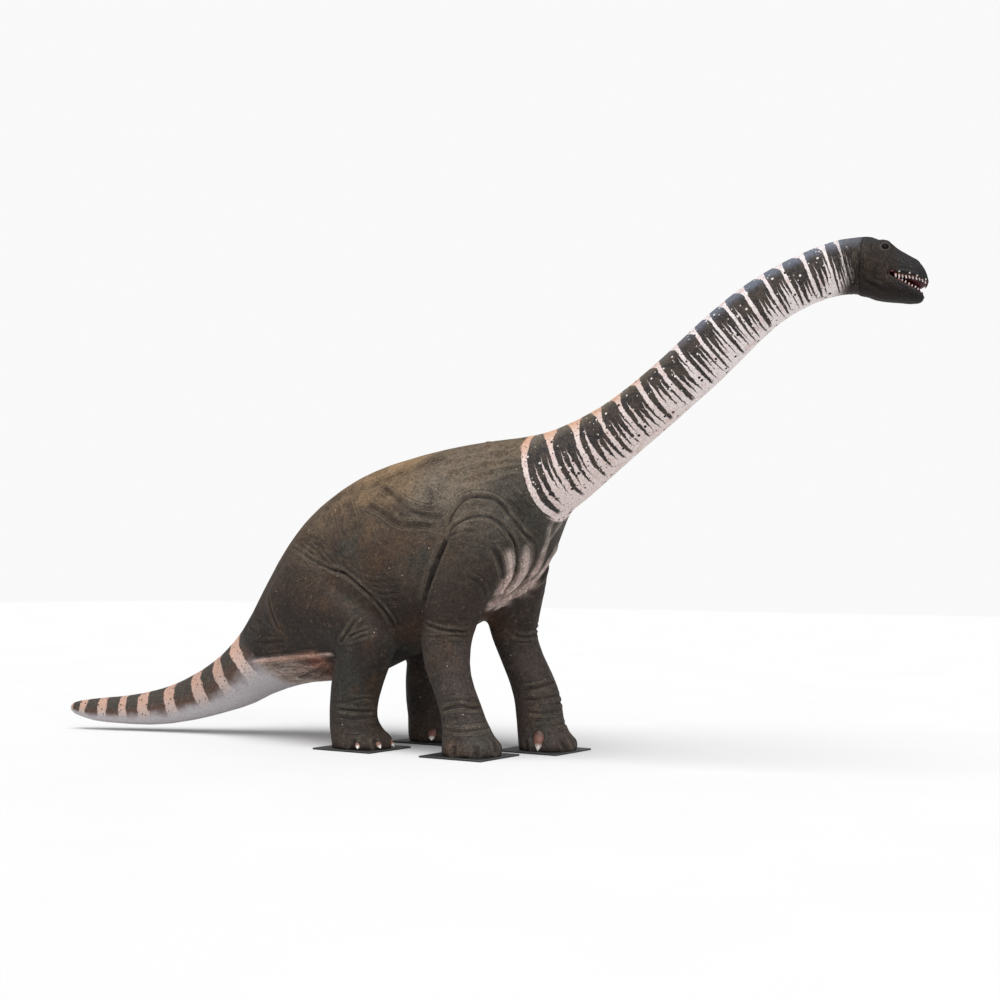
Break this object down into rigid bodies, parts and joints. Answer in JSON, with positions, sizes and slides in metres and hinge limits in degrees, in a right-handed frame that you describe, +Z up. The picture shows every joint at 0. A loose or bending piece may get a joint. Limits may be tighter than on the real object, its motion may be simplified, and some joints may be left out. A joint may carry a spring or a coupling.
{
  "type": "sauropod dinosaur statue",
  "caption": "Life-size painted long-necked dinosaur statue with banded neck and tail, open mouth and raised head, each foot on a flat square steel base plate.",
  "frame": {"origin": "centre of the model's box at floor level, on the undersides of the base plates", "axes": "+X the way the body heads, +Y the animal's left, +Z up"},
  "size_m": [7.9652, 1.48, 4.1469],
  "materials": {
    "skin": "painted, matt, finely pebbled and creased",
    "eye": "gloss black",
    "claw": "painted, satin",
    "tooth": "painted, gloss",
    "plate": "dark flat steel, worn at the edges"
  },
  "bodies": {
    "root": {"head": "skin", "lower_jaw": "skin", "eye_right": "eye", "eye_left": "eye", "neck_upper": "skin", "neck_middle": "skin", "neck_lower": "skin", "torso": "skin", "tail_base": "skin", "tail_middle": "skin", "tail_tip": "skin", "foreleg_right": "skin", "foreleg_left": "skin", "hindleg_right": "skin", "hindleg_left": "skin", "thumb_claw_right": "claw", "thumb_claw_left": "claw", "hind_claw_right_1": "claw", "hind_claw_right_2": "claw", "hind_claw_right_3": "claw", "hind_claw_right_4": "claw", "hind_claw_left_1": "claw", "hind_claw_left_2": "claw", "hind_claw_left_3": "claw", "hind_claw_left_4": "claw", "stand_plate_fore_right": "plate", "stand_plate_fore_left": "plate", "stand_plate_hind_right": "plate", "stand_plate_hind_left": "plate"}
  },
  "joints": []
}
